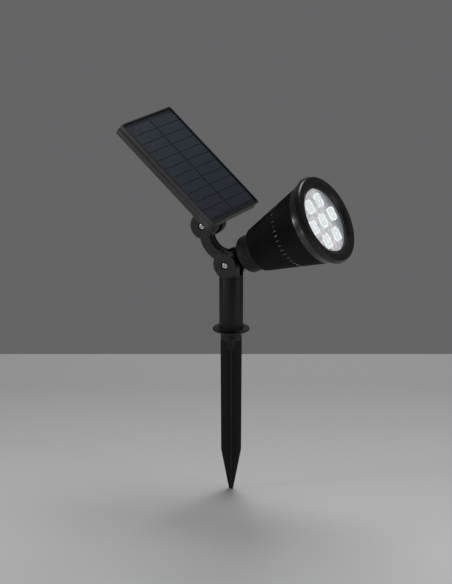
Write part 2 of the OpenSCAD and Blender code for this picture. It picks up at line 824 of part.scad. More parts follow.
module controller_parts() {
    base_s = cone_s0 + 8;
    color("dimgray") at_head() translate([control_x + 1.65, 0, 0]) {
        translate([0, -5, base_s + 8]) cube([1.7, 5, 6]);
        translate([0, 4, base_s + 8]) cube([2.6, 6, 6]);
        translate([0, -6, base_s + 20]) cube([1.2, 3, 3]);
        translate([3.3, -2, base_s + 26]) cylinder(r = 3.2, h = 9);
        translate([0, 4, base_s + 24]) cube([1.1, 2.4, 4]);
        translate([0, 8, base_s + 30]) cube([5, 5, 8]);
    }
}

module board_screws() {
    color(steel) at_head() for (y = [-11, 11])
        translate([control_x + 1.65, y, cone_s0 + 11]) rotate([0, 90, 0]) pan_screw(0.9, 2.8, 1.9, 1.1);
}

module heat_spreader() {
    color([0.7, 0.71, 0.72]) at_head() translate([0, 0, chip_s - ledboard_t - spreader_t]) difference() {
        cylinder(r = window_r + 1.6, h = spreader_t - 0.05);
        translate([-6, -3, -1]) cube([12, 6, 6]);
        led_screw_places() translate([0, 0, -1]) cylinder(r = 1, h = 8);
    }
}

module led_screw_places() {
    for (turn = [0 : 120 : 240])
        rotate(turn + 30) translate([11.5, 0, 0]) children();
}

module led_board() {
    color([0.9, 0.9, 0.88]) at_head() translate([0, 0, chip_s - ledboard_t]) difference() {
        cylinder(r = window_r + 0.6, h = ledboard_t - 0.05);
        led_screw_places() translate([0, 0, -1]) cylinder(r = 1.1, h = 8);
    }
}

module led_board_screws() {
    color(steel) at_head() led_screw_places()
        translate([0, 0, chip_s - 0.04]) pan_screw(1, 4.2, 1.8, 1);
}

// One place at the centre and six on a ring around it
module each_optic() {
    children();
    for (turn = [optic_turn : 60 : optic_turn + 300])
        translate([optic_ring_r * cos(turn), optic_ring_r * sin(turn), 0]) children();
}

module led_chips() {
    color([0.95, 0.85, 0.4]) at_head() each_optic()
        translate([-2.5, -2.5, chip_s]) cube([5, 5, 1.5]);
}

module optic_array() {
    color([0.9, 0.95, 1, 0.4]) at_head() difference() {
        union() {
            translate([0, 0, glass_s - glass_t - 0.4 - carrier_t])
                cylinder(r = window_r + 0.8, h = carrier_t);
            each_optic() translate([0, 0, chip_s + 1.6])
                cylinder(r1 = 4.6, r2 = optic_r, h = optic_h - carrier_t + eps);
        }
        each_optic() translate([0, 0, chip_s + 1]) cylinder(r = 3, h = 4.6);
    }
}

module front_seal() {
    color(rubber) at_head() translate([0, 0, glass_s - glass_t - 0.9])
        ring(window_r + 1.9, window_r + 0.95, 0.85);
}

module front_window() {
    color([0.85, 0.92, 1, 0.35]) at_head() translate([0, 0, glass_s - glass_t])
        cylinder(r = window_r + 1.8, h = glass_t);
}

module pin_places() {
    for (turn = [60 : 120 : 300])
        rotate(turn) translate([rim_pin_r, 0, 0]) children();
}

// A funnel round the window, a flat front and a brow that slopes down to the rim
module bezel_ring() {
    seat_s = rim_s1 + 2.1;
    color(satin) at_head() difference() {
        rotate_extrude() polygon(concat(
            [[window_r, glass_s + 0.05], [window_r, glass_s + 0.35],
             [mouth_r - 0.2, head_reach - 0.1], [mouth_r + 0.2, head_reach]],
            arc(bezel_r - 2.4, head_reach - brow_r, brow_r, 90, 15, 6),
            arc(bezel_r - brow_r, head_reach - brow_drop, brow_r, 15, 0, 2),
            [[bezel_r, rim_s1 + 1.2], [bezel_r - 1, rim_s1 + 0.2], [window_r + 4.4, rim_s1 + 0.2],
             [window_r + 4.4, seat_s], [window_r + 2.1, seat_s], [window_r + 2.1, glass_s + 0.05]]));
        pin_places() translate([0, 0, seat_s - 3]) cylinder(r = 0.8, h = 6);
    }
}

module bezel_pins() {
    color(steel) at_head() pin_places()
        translate([0, 0, rim_s1 - 6]) cylinder(r = 0.78, h = 11);
}

ground_spike();
ground_flange();
swivel_clip();
post_tube();
post_yoke();
swivel_washer();
lower_hinge_bolt();
lower_hinge_nut();
lower_hinge_washers();
arm_plates();
arm_core();
arm_screws();
panel_bracket();
bracket_screws();
upper_hinge_bolt();
upper_hinge_nut();
upper_hinge_washers();
panel_back_cover();
panel_frame();
panel_gasket();
panel_cover_screws();
panel_cable_grommet();
cell_board();
solar_cells();
cell_ribbons();
panel_window();
blocking_diode();
button_switch();
button_guard();
power_button();
head_knuckle();
knuckle_screws();
rear_cap();
rear_cap_seal();
rear_cap_screws();
head_cable_grommet();
lamp_housing();
battery_cell();
battery_holder();
battery_contacts();
controller_board();
controller_parts();
board_screws();
heat_spreader();
led_board();
led_board_screws();
led_chips();
optic_array();
front_seal();
front_window();
bezel_ring();
bezel_pins();
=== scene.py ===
import json
from math import cos, pi, radians, sin

import bmesh
import bpy
import numpy as np
from mathutils import Matrix, Vector


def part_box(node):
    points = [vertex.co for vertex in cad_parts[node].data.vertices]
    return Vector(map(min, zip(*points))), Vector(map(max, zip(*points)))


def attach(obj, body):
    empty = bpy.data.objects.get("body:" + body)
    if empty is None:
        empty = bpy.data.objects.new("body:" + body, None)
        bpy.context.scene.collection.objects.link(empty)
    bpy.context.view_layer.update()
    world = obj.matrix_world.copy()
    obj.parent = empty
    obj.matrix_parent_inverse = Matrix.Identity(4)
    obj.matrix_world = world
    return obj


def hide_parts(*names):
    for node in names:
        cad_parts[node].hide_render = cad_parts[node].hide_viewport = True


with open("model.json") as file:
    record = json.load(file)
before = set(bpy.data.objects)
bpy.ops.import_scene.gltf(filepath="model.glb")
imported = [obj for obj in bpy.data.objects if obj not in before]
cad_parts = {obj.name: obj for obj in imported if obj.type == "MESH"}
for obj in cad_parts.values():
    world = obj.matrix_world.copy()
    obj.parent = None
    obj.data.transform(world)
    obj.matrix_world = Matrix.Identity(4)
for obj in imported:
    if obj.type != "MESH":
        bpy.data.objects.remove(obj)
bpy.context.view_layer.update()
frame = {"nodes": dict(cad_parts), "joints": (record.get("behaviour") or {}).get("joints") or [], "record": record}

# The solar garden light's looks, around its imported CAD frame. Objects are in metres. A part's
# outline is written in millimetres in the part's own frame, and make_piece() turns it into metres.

MM = 0.001
JOINTS = {j["name"]: j for j in frame["joints"]}
SLOTS = {part["node"]: part["material_slot"] for part in frame["record"]["subparts"]}


# ---- Frames and sizes taken from the CAD -------------------------------------------------------

def tilted_frame(origin, normal):
    """A frame at origin with Z along normal and Y along the hinges."""
    across = Vector((0, 1, 0))
    rows = Matrix((across.cross(normal), across, normal))
    return Matrix.Translation(origin) @ rows.transposed().to_4x4()


def middle(node):
    low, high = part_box(node)
    return (low + high) / 2


def extent(node, matrix):
    """Lowest and highest corners of a CAD node, in millimetres along a frame's own axes."""
    inverse = matrix.inverted()
    points = np.array([inverse @ v.co for v in frame["nodes"][node].data.vertices]) / MM
    return Vector(points.min(0)), Vector(points.max(0))


LOWER_HINGE = Vector(JOINTS["head_tilt"]["pos_m"])
UPPER_HINGE = Vector(JOINTS["panel_tilt"]["pos_m"])
HEAD = tilted_frame(LOWER_HINGE, (middle("front_window") - LOWER_HINGE).normalized())
PANEL = tilted_frame(UPPER_HINGE, Vector(JOINTS["button_press"]["axis"]).normalized())


# ---- Outlines ----------------------------------------------------------------------------------

def fillet(corners, steps=6):
    """An outline whose corners are (x, y) or (x, y, radius): a radius rounds that corner off."""
    outline = []
    for i, (x, y, *radius) in enumerate(corners):
        here = Vector((x, y))
        if not radius:
            outline.append(here)
            continue
        before = Vector(corners[i - 1][:2]) - here
        after = Vector(corners[(i + 1) % len(corners)][:2]) - here
        half = before.angle(after) / 2
        reach = radius[0] / np.tan(half)
        start, end = before.normalized() * reach, after.normalized() * reach
        centre = (start + end).normalized() * (radius[0] / sin(half))
        turn = (start - centre).angle_signed(end - centre)
        for k in range(steps + 1):
            spoke = (start - centre).copy()
            spoke.rotate(Matrix.Rotation(-turn * k / steps, 2))
            outline.append(here + centre + spoke)
    return outline


def rounded_rectangle(half_x, half_y, radius, steps=8):
    """Points round a rectangle with rounded corners, anticlockwise."""
    radius = max(radius, 0.05)
    points = []
    for corner, (sx, sy) in enumerate(((1, 1), (-1, 1), (-1, -1), (1, -1))):
        for k in range(steps + 1):
            a = (corner + k / steps) * pi / 2
            points.append((sx * (half_x - radius) + radius * cos(a),
                           sy * (half_y - radius) + radius * sin(a)))
    return points


# ---- Meshes ------------------------------------------------------------------------------------

def loft(rings, closed):
    """A solid from rings of equal length: a closed one meets its own start, an open one is capped."""
    count = len(rings[0])
    points = [point for ring in rings for point in ring]
    faces = []
    for i in range(len(rings) if closed else len(rings) - 1):
        low, high = i * count, (i + 1) % len(rings) * count
        for k in range(count):
            after = (k + 1) % count
            faces.append((low + k, low + after, high + after, high + k))
    if not closed:
        faces.append(tuple(range(count - 1, -1, -1)))
        faces.append(tuple(range(len(points) - count, len(points))))
    return points, faces


def turned(outline, steps=128, ripple=None):
    """An outline of (radius, height) turned about Z. Ripple changes a radius at a height and a turn."""
    rings = []
    for radius, height in outline:
        ring = []
        for k in range(steps):
            a = 2 * pi * k / steps
            r = ripple(radius, height, a) if ripple else radius
            ring.append((r * cos(a), r * sin(a), height))
        rings.append(ring)
    on_axis = outline[0][0] < 1e-6 and outline[-1][0] < 1e-6
    return loft(rings, closed=not on_axis)


def framed(outline, half_x, half_y, corner, centre_x=0):
    """An outline of (inset, height) carried round a rounded rectangle."""
    rings = []
    for inset, height in outline:
        ring = rounded_rectangle(half_x - inset, half_y - inset, corner - inset)
        rings.append([(centre_x + x, y, height) for x, y in ring])
    return loft(rings, closed=True)


def slab(half_x, half_y, corner, low, high, edge):
    """A rounded rectangular slab from height low to high, with its upper rim rounded."""
    rings = []
    for inset, height in ((0, low), (0, high - edge), (edge * 0.3, high - edge * 0.3), (edge, high)):
        ring = rounded_rectangle(half_x - inset, half_y - inset, corner - inset, steps=4)
        rings.append([(x, y, height) for x, y in ring])
    return loft(rings, closed=False)


def make_piece(name, shape, matrix, body, look, nodes=(), smooth=35):
    """A piece from a shape in millimetres, placed by matrix. It rides on body and replaces nodes."""
    points, faces = shape
    mesh = bpy.data.meshes.new(name)
    mesh.from_pydata([Vector(p) * MM for p in points], [], faces)
    tidy = bmesh.new()
    tidy.from_mesh(mesh)
    bmesh.ops.remove_doubles(tidy, verts=tidy.verts, dist=1e-7)
    bmesh.ops.dissolve_degenerate(tidy, edges=tidy.edges, dist=1e-7)
    bmesh.ops.recalc_face_normals(tidy, faces=tidy.faces)
    tidy.to_mesh(mesh)
    tidy.free()
    piece = bpy.data.objects.new(name, mesh)
    bpy.context.scene.collection.objects.link(piece)
    piece.matrix_world = matrix
    finish_piece(piece, body, look, nodes, smooth)


def finish_piece(piece, body, look, nodes, smooth):
    piece.data.shade_smooth()
    piece.data.set_sharp_from_angle(angle=radians(smooth))
    piece.data.materials.append(look)
    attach(piece, body)
    if nodes:
        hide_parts(*nodes)


def join_shapes(*shapes):
    """Several shapes as one mesh of separate solids."""
    points, faces = [], []
    for more, sides in shapes:
        faces += [tuple(len(points) + k for k in side) for side in sides]
        points += list(more)
    return points, faces


def moved(shape, matrix):
    points, faces = shape
    return [matrix @ Vector(p) for p in points], faces


# ---- Materials ---------------------------------------------------------------------------------

# The Mix node's colour sockets, which share their names with its sockets for numbers
MIX_FIRST, MIX_SECOND, MIX_RESULT = 6, 7, 2


class Look:
    """A procedural material being put together: a Principled shader and the nodes that feed it."""

    def __init__(self, name, colour, roughness, **constants):
        self.material = bpy.data.materials.new(name)
        self.material.use_nodes = True
        self.tree = self.material.node_tree
        self.shader = self.tree.nodes["Principled BSDF"]
        self.place = self.add("ShaderNodeTexCoord").outputs["Object"]
        self.colour, self.roughness = colour, roughness
        self.shader.inputs["Base Color"].default_value = (*colour, 1)
        self.shader.inputs["Roughness"].default_value = roughness
        for socket, value in constants.items():
            self.shader.inputs[socket.replace("_", " ")].default_value = value
        self.relief = None

    def add(self, kind, links=None, **settings):
        """A new node with its settings. Links name its sockets and what feeds each of them."""
        node = self.tree.nodes.new(kind)
        for key, value in settings.items():
            if key.replace("_", " ") in node.inputs:
                node.inputs[key.replace("_", " ")].default_value = value
            else:
                setattr(node, key, value)
        for socket, source in (links or {}).items():
            self.tree.links.new(source, node.inputs[socket])
        return node

    def feed(self, socket, source):
        self.tree.links.new(source, self.shader.inputs[socket])

    def stretched(self, scale):
        """The place, stretched along its axes."""
        return self.add("ShaderNodeMapping", {"Vector": self.place}, Scale=scale).outputs["Vector"]

    def noise(self, size, detail=3.0, vector=None):
        """Noise with features of about size millimetres."""
        node = self.add("ShaderNodeTexNoise", {"Vector": vector or self.place},
                        Scale=1 / (size * MM), Detail=detail, Roughness=0.55)
        return node.outputs["Fac"]

    def span(self, value, low, high, start=0.3, end=0.7):
        """A value from start to end, carried to low to high."""
        node = self.add("ShaderNodeMapRange", {"Value": value},
                        From_Min=start, From_Max=end, To_Min=low, To_Max=high)
        return node.outputs["Result"]

    def mixed(self, value, start, end, colour, other):
        """A colour, or a socket's, going over to another one as value goes from start to end."""
        share = self.span(value, 0, 1, start, end)
        mix = self.add("ShaderNodeMix", {"Factor": share}, data_type="RGBA")
        if isinstance(colour, tuple):
            mix.inputs[MIX_FIRST].default_value = (*colour, 1)
        else:
            self.tree.links.new(colour, mix.inputs[MIX_FIRST])
        mix.inputs[MIX_SECOND].default_value = (*other, 1)
        return mix.outputs[MIX_RESULT]

    def vary_roughness(self, value, spread):
        self.feed("Roughness", self.span(value, self.roughness - spread, self.roughness + spread))

    def vary_colour(self, value, other, start=0.35, end=0.65):
        self.feed("Base Color", self.mixed(value, start, end, self.colour, other))

    def bump(self, value, strength, depth):
        """Relief of depth millimetres, laid over any relief already there."""
        links = {"Height": value}
        if self.relief:
            links["Normal"] = self.relief
        node = self.add("ShaderNodeBump", links, Strength=strength, Distance=depth * MM)
        self.relief = node.outputs["Normal"]
        self.feed("Normal", self.relief)


def moulded_plastic(name, colour, roughness, grain, relief, **constants):
    """Injection-moulded plastic: a fine etched texture, faint flow marks and handling marks."""
    look = Look(name, colour, roughness, **constants)
    fine = look.noise(grain, detail=2)
    flow = look.noise(14, detail=4, vector=look.stretched((1, 1, 0.35)))
    dulled = tuple(min(1, c * 1.35 + 0.002) for c in colour)
    look.vary_colour(flow, dulled)
    look.vary_roughness(look.noise(5, detail=6), 0.05)
    look.bump(fine, relief, 0.05)
    return look.material


def satin_black():
    return moulded_plastic("satin_black", (0.0055, 0.0055, 0.006), 0.38, 0.5, 0.04,
                           Specular_IOR_Level=0.4)


def post_black():
    return moulded_plastic("post_black", (0.007, 0.0068, 0.007), 0.52, 0.5, 0.15,
                           Specular_IOR_Level=0.25)


def rib_black():
    return moulded_plastic("rib_black", (0.0025, 0.0027, 0.0026), 0.45, 0.6, 0.15,
                           Specular_IOR_Level=0.1)


def collar_black():
    return moulded_plastic("collar_black", (0.005, 0.005, 0.005), 0.23, 0.8, 0.04,
                           Specular_IOR_Level=0.9)


def gloss_black():
    return moulded_plastic("gloss_black", (0.004, 0.0038, 0.0038), 0.28, 0.9, 0.03,
                           Specular_IOR_Level=0.45)


def spike_black():
    look = Look("spike_black", (0.014, 0.014, 0.0145), 0.5, Specular_IOR_Level=0.22)
    streaks = look.noise(3, detail=5, vector=look.stretched((1, 1, 0.12)))
    look.vary_colour(streaks, (0.018, 0.018, 0.018))
    look.vary_roughness(streaks, 0.07)
    look.bump(look.noise(0.8), 0.2, 0.06)
    return look.material


def panel_black():
    return moulded_plastic("panel_black", (0.016, 0.0155, 0.016), 0.38, 1.5, 0.02,
                           Specular_IOR_Level=0.6)


def lip_black():
    return moulded_plastic("lip_black", (0.005, 0.005, 0.005), 0.4, 0.45, 0.06,
                           Specular_IOR_Level=0.2)


def button_grey():
    return moulded_plastic("button_grey", (0.12, 0.125, 0.13), 0.55, 0.4, 0.3)


def bright_steel(name, colour, roughness):
    """Plated steel with fine turning marks and a few dull spots."""
    look = Look(name, colour, roughness, Metallic=1.0)
    marks = look.noise(0.25, detail=4, vector=look.stretched((1, 0.2, 1)))
    look.vary_roughness(marks, 0.08)
    look.vary_colour(look.noise(1.2), tuple(c * 0.82 for c in colour))
    look.bump(marks, 0.15, 0.02)
    return look.material


def nylon():
    look = Look("nylon", (0.7, 0.68, 0.6), 0.45, Subsurface_Weight=0.15, Subsurface_Scale=0.002)
    look.vary_colour(look.noise(4), (0.62, 0.59, 0.5))
    look.vary_roughness(look.noise(1.5), 0.08)
    look.bump(look.noise(0.6), 0.1, 0.03)
    return look.material


def black_rubber():
    look = Look("black_rubber", (0.014, 0.014, 0.014), 0.7)
    look.vary_colour(look.noise(3), (0.03, 0.03, 0.029))
    look.vary_roughness(look.noise(2, detail=5), 0.1)
    look.bump(look.noise(0.4), 0.3, 0.05)
    return look.material


def cell_silicon():
    """Blue-black cells with fine printed lines across them and a slight crystal mottle."""
    look = Look("cell_silicon", (0.008, 0.0135, 0.0245), 0.36, Specular_IOR_Level=0.25)
    crystal = look.add("ShaderNodeTexVoronoi", {"Vector": look.place}, Scale=1 / (5 * MM))
    look.vary_colour(crystal.outputs["Color"], (0.0105, 0.0165, 0.027), 0.1, 0.9)
    fingers = look.add("ShaderNodeTexWave", {"Vector": look.place}, wave_type="BANDS",
                       bands_direction="Y", Scale=1 / (6.3 * MM))
    look.vary_roughness(look.noise(6), 0.06)
    look.bump(fingers.outputs["Fac"], 0.02, 0.004)
    return look.material


def cell_backing():
    look = Look("cell_backing", (0.0025, 0.003, 0.0038), 0.5, Specular_IOR_Level=0.1)
    look.vary_colour(look.noise(8), (0.004, 0.0045, 0.0055))
    look.vary_roughness(look.noise(3), 0.06)
    look.bump(look.noise(2), 0.03, 0.02)
    return look.material


def clear_cover(name, colour, roughness, clearness, shine, grain):
    """A clear moulded cover with a faint ripple. What lies behind it shows through."""
    look = Look(name, colour, roughness, Alpha=clearness, Specular_IOR_Level=shine)
    look.vary_colour(look.noise(12), tuple(c * 0.94 for c in colour))
    look.vary_roughness(look.noise(9, detail=4), 0.03)
    look.bump(look.noise(grain), 0.02, 0.02)
    return look.material


def lit_optic(name, colour, other, glow, painted_far_shade=None):
    """Clear acrylic with a light source behind it, so that it glows a little unevenly.

    With a last colour, the glow goes over to it towards the far side of the head, +Y: painted shade that makes the
    far optics darker."""
    look = Look(name, (0.3, 0.3, 0.3), 0.2, Emission_Strength=glow, IOR=1.49)
    shade = look.mixed(look.noise(4, detail=5), 0.4, 0.62, colour, other)
    # Painted shade: the glow goes darker towards +Y, the head's far side.
    if painted_far_shade:
        across = look.add("ShaderNodeSeparateXYZ", {"Vector": look.place}).outputs["Y"]
        shade = look.mixed(across, 0.009, 0.025, shade, painted_far_shade)
    look.feed("Emission Color", shade)
    look.vary_roughness(look.noise(4), 0.08)
    look.bump(look.noise(2.2, detail=2), 0.3, 0.3)
    return look.material


def circuit_board(name, colour, trace):
    """Solder resist over copper: the tracks show through as a slightly lighter net."""
    look = Look(name, colour, 0.35, Coat_Weight=0.3, Coat_Roughness=0.2)
    tracks = look.add("ShaderNodeTexBrick", {"Vector": look.place}, Scale=1 / (9 * MM)).outputs["Fac"]
    look.vary_colour(tracks, trace, 0, 1)
    look.vary_roughness(look.noise(2), 0.05)
    look.bump(tracks, 0.1, 0.03)
    return look.material


def led_yellow():
    look = Look("led_yellow", (0.9, 0.82, 0.45), 0.4,
                Emission_Color=(1, 0.97, 0.9, 1), Emission_Strength=1.2)
    look.vary_colour(look.noise(0.4), (0.95, 0.88, 0.6))
    look.vary_roughness(look.noise(0.8), 0.05)
    look.bump(look.noise(0.3), 0.2, 0.03)
    return look.material


def battery_wrap():
    look = Look("battery_wrap", (0.05, 0.13, 0.36), 0.3, Coat_Weight=0.5, Coat_Roughness=0.15)
    look.vary_colour(look.noise(10, vector=look.stretched((1, 1, 0.3))), (0.07, 0.17, 0.42))
    look.vary_roughness(look.noise(3), 0.06)
    look.bump(look.noise(2), 0.15, 0.08)
    return look.material


def all_looks():
    """Every material by name: the record's slots, and a few more for pieces that look different."""
    for plain in list(bpy.data.materials):
        bpy.data.materials.remove(plain)
    made = [
        satin_black(), post_black(), rib_black(), collar_black(), gloss_black(), spike_black(),
        panel_black(), lip_black(), button_grey(), nylon(), black_rubber(),
        moulded_plastic("chip_black", (0.03, 0.03, 0.031), 0.5, 0.5, 0.2),
        moulded_plastic("holder_black", (0.02, 0.02, 0.02), 0.5, 0.5, 0.2),
        bright_steel("zinc_steel", (0.8, 0.8, 0.79), 0.28),
        bright_steel("tinned_ribbon", (0.012, 0.013, 0.016), 0.6),
        bright_steel("spreader_aluminium", (0.62, 0.63, 0.64), 0.4),
        cell_silicon(), cell_backing(), led_yellow(), battery_wrap(),
        circuit_board("circuit_green", (0.01, 0.09, 0.035), (0.02, 0.14, 0.05)),
        circuit_board("board_white", (0.78, 0.78, 0.76), (0.85, 0.85, 0.83)),
        clear_cover("panel_glass", (0.2, 0.25, 0.32), 0.15, 0.03, 0.4, 9),
        clear_cover("lamp_glass", (0.95, 0.97, 1.0), 0.05, 0.05, 0.5, 6),
        # optic_clear's last colour is painted shade on the far side of the carrier.
        lit_optic("optic_clear", (0.86, 0.86, 0.89), (0.46, 0.45, 0.50), 0.64, (0.11, 0.13, 0.16)),
        lit_optic("optic_rim", (0.93, 0.96, 0.96), (0.50, 0.56, 0.58), 1.0),
        lit_optic("optic_well", (0.68, 0.79, 0.79), (0.86, 0.90, 0.91), 0.78)]
    return {material.name: material for material in made}


LOOKS = all_looks()

# The nodes that are duller than the rest of their slot
DULL = ("post_tube", "rear_cap")

# The width in millimetres of the rounded edges of nodes that stay as the CAD drew them
EDGES = {"ground_spike": 0.3, "ground_flange": 0.4, "post_tube": 0.2, "post_yoke": 0.35,
         "panel_bracket": 0.4, "panel_back_cover": 0.3, "rear_cap": 0.3,
         "head_knuckle": 0.3, "power_button": 0.15, "button_guard": 0.15, "arm_plates": 0.8,
         "lower_hinge_bolt": 0.12, "upper_hinge_bolt": 0.12}


def dress_cad_nodes():
    for name, node in frame["nodes"].items():
        node.data.materials.clear()
        node.data.materials.append(LOOKS["post_black" if name in DULL else SLOTS[name]])
        if name in EDGES:
            round_edges(node, EDGES[name])


def round_edges(node, width):
    """Joins the CAD mesh's faces up and rounds the edges between them."""
    weld = node.modifiers.new("weld", "WELD")
    weld.merge_threshold = 1e-6
    bevel = node.modifiers.new("edges", "BEVEL")
    bevel.width, bevel.segments = width * MM, 2
    bevel.limit_method, bevel.angle_limit = "ANGLE", radians(32)
    bevel.harden_normals = True


# ---- Panel -------------------------------------------------------------------------------------

# How far the drawn skirt stands off the back cover's, which it hides
WALL_SKIN = 0.12
CORNER_R = 2.6


def rim_ring(outline, centre_x, half_x, half_y):
    return framed(fillet(outline, steps=5), half_x, half_y, CORNER_R, centre_x)


def panel_rim():
    """The dark lip round the face, and the bulging wall from there to the skirt round the back."""
    low, high = extent("panel_frame", PANEL)
    back, seam = (corner.z for corner in extent("panel_back_cover", PANEL))
    board = extent("cell_board", PANEL)[0].z
    place = ((low.x + high.x) / 2, (high.x - low.x) / 2, (high.y - low.y) / 2)
    face = high.z
    edge, lip, skirt, inner = 0.55, 2.2, 2.5, 5.5
    bulge_middle, bulge_step = (seam + back) / 2 - 0.2, 0.68
    bulge = [(0.05 + 0.6 * (k / 5) ** 2, bulge_middle - k * bulge_step) for k in range(-5, 6)]
    lip_ring = rim_ring([(lip, face, 0.25), (edge, face), (edge, seam + 0.5), (inner, seam),
                         (inner, board - 0.1), (lip, board - 0.1)], *place)
    wall_ring = rim_ring([
        (edge, face - 0.03, 0.2), (0, face - 0.03, 0.5), (0, seam + 0.4, 0.3), (0.65, seam, 0.2),
        *bulge, (0.95, back - WALL_SKIN, 0.3), (skirt + WALL_SKIN, back - WALL_SKIN, 0.1),
        (skirt + WALL_SKIN, back + 1.3), (inner, seam), (edge, seam + 0.5)], *place)
    return lip_ring, wall_ring


def cell_grid():
    """Two columns of slim cells with slightly rounded corners, over the area of the CAD's cells."""
    low, high = extent("solar_cells", PANEL)
    rows, gap, middle_gap = 11, 1.2, 2.6
    pitch = (high.x - low.x + gap) / rows
    wide = (high.y - low.y - middle_gap) / 2
    cell = slab((pitch - gap) / 2, wide / 2, 0.4, low.z, high.z, edge=0.05)
    cells = []
    for row in range(rows):
        for side in (-1, 1):
            at = (low.x + row * pitch + (pitch - gap) / 2, side * (wide + middle_gap) / 2, 0)
            cells.append(moved(cell, Matrix.Translation(at)))
    return join_shapes(*cells)


def build_panel():
    lip_ring, wall_ring = panel_rim()
    make_piece("panel_lip", lip_ring, PANEL, "panel", LOOKS["lip_black"],
               ["panel_frame"], smooth=50)
    make_piece("panel_wall", wall_ring, PANEL, "panel", LOOKS["panel_black"], smooth=50)
    make_piece("cell_grid", cell_grid(), PANEL, "panel", LOOKS["cell_silicon"],
               ["solar_cells"], smooth=12)


# ---- Lamp head ---------------------------------------------------------------------------------

RIBS = 84
RIB_DEPTH = 0.75
CONE_REAR_R = 22.7
SHOULDER_L = 4.4
COLLAR_L = 6.5
COLLAR_STEP = 0.5
BEZEL_LIFT = 2.0
BARS_SHARE = 0.6
PLUG_TURN = radians(-109)
OPTIC_HALF = 7.0
OPTIC_WALL = 1.6
OPTIC_CORNER = 3.2

# Turns a slab that lies flat so that it faces outwards
OUTWARDS = Matrix(((0, 0, 1), (0, 1, 0), (-1, 0, 0))).to_4x4()


def cone_stations():
    """Radius and height of the ribbed cone's two ends, and the height of the seam in front of it."""
    low, high = extent("lamp_housing", HEAD)
    seam = extent("bezel_ring", HEAD)[0].z - 0.2
    return (CONE_REAR_R, low.z + SHOULDER_L), (high.x - COLLAR_STEP, seam - COLLAR_L), seam


def lamp_shell():
    """The hollow cone with its lengthwise ribs."""
    low, _ = extent("lamp_housing", HEAD)
    (rear_r, rear_s), (cone_r, cone_s), _ = cone_stations()
    mouth = extent("front_window", HEAD)[1].x
    cap_r = extent("rear_cap", HEAD)[1].y
    outline = fillet([(cap_r - 1.9, low.z), (cap_r - 0.05, low.z), (cap_r + 0.2, low.z + 0.5, 0.2),
                      (rear_r, rear_s, 2)])
    for share in (0.01, *np.linspace(0.1, 0.9, 9), 0.99):
        outline.append(Vector((rear_r + (cone_r - rear_r) * share, rear_s + (cone_s - rear_s) * share)))
    outline += fillet([(cone_r, cone_s), (cone_r, cone_s + 0.5), (mouth - 0.5, cone_s + 0.5),
                       (mouth - 0.5, cone_s - 4), (mouth - 3, cone_s - 8), (cap_r, low.z + 8),
                       (cap_r - 1.9, low.z + 6)])
    rib_from, rib_to = rear_s + 0.6, cone_s - 0.2

    def ribbed(radius, height, turn):
        surface_r = rear_r + (cone_r - rear_r) * (height - rear_s) / (cone_s - rear_s)
        if not rib_from < height < rib_to or radius <= surface_r - 1:
            return radius
        return radius - RIB_DEPTH * (1 - abs(sin(RIBS * turn / 2)))

    return turned(outline, steps=RIBS * 8, ripple=ribbed)


def collar():
    """The smooth band in front of the ribs, which the bezel sits on."""
    _, (cone_r, cone_s), seam = cone_stations()
    collar_r, mouth = cone_r + COLLAR_STEP, extent("front_window", HEAD)[1].x
    front = seam + BEZEL_LIFT + 0.15
    return turned(fillet([
        (mouth - 0.4, cone_s + 0.05), (cone_r - 1, cone_s + 0.05), (cone_r + 0.1, cone_s + 0.1),
        (collar_r, cone_s + 0.45, 0.3), (collar_r, front, 0.1), (mouth - 0.4, front)], steps=4))


def shoulder():
    """The smooth ring that carries the rear cap's outline up to the ribs."""
    low, _ = extent("lamp_housing", HEAD)
    (rear_r, rear_s), _, _ = cone_stations()
    cap_r = extent("rear_cap", HEAD)[1].y
    return turned(fillet([
        (cap_r - 1.5, low.z - 0.6), (cap_r + 0.05, low.z - 0.6), (cap_r + 0.15, low.z + 0.3, 2),
        (rear_r + 0.12, rear_s - 0.2, 2), (rear_r + 0.12, rear_s + 0.9, 0.2),
        (rear_r - 1.2, rear_s + 0.9)]), steps=96)


def grip_bars():
    """A ring of short raised bars, one on every second rib, a little in front of the cone's middle."""
    (rear_r, rear_s), (cone_r, cone_s), _ = cone_stations()
    radius = rear_r + (cone_r - rear_r) * BARS_SHARE
    height = rear_s + (cone_s - rear_s) * BARS_SHARE
    bar = slab(2.3, 0.75, 0.7, -0.6, 0.12, edge=0.25)
    lean = Matrix.Rotation(np.arctan((cone_r - rear_r) / (cone_s - rear_s)), 4, "Y")
    bars = []
    for k in range(RIBS // 2):
        turn = Matrix.Rotation((2 * k + 0.5) * 2 * pi / RIBS, 4, "Z")
        bars.append(moved(bar, turn @ Matrix.Translation((radius, 0, height)) @ lean @ OUTWARDS))
    return join_shapes(*bars)


def drain_plug():
    """The small dark plug in the collar, on the near side and a little above the middle."""
    seam = cone_stations()[2]
    collar_r = extent("lamp_housing", HEAD)[1].x
    plug = turned([(0, -0.8), (0.9, -0.8), (0.9, 0.02), (0.75, 0.06), (0.55, -0.4), (0, -0.4)], steps=24)
    turn = Matrix.Rotation(PLUG_TURN, 4, "Z")
    return moved(plug, turn @ Matrix.Translation((collar_r - 0.06, 0, seam - 2.8)) @ OUTWARDS)


def bezel():
    """The front ring: a funnel round the window, a flat face and a brow rounded down to the rim."""
    low, high = extent("bezel_ring", HEAD)
    window = extent("front_window", HEAD)[1]
    window_r, glass = window.x - 1.8, window.z + 0.05
    mouth_r, inner_r, rear = window_r + 4.1, window_r + 2.1, low.z + BEZEL_LIFT
    return turned(fillet([
        (window_r, glass), (window_r, glass + 0.3, 0.2), (mouth_r, high.z, 0.5),
        (high.x - 2, high.z, 0.7), (high.x - 1.1, high.z - 1.3, 0.7), (high.x, rear + 0.7, 0.5),
        (high.x - 0.6, rear, 0.3), (inner_r, rear), (inner_r, glass)], steps=10), steps=192)


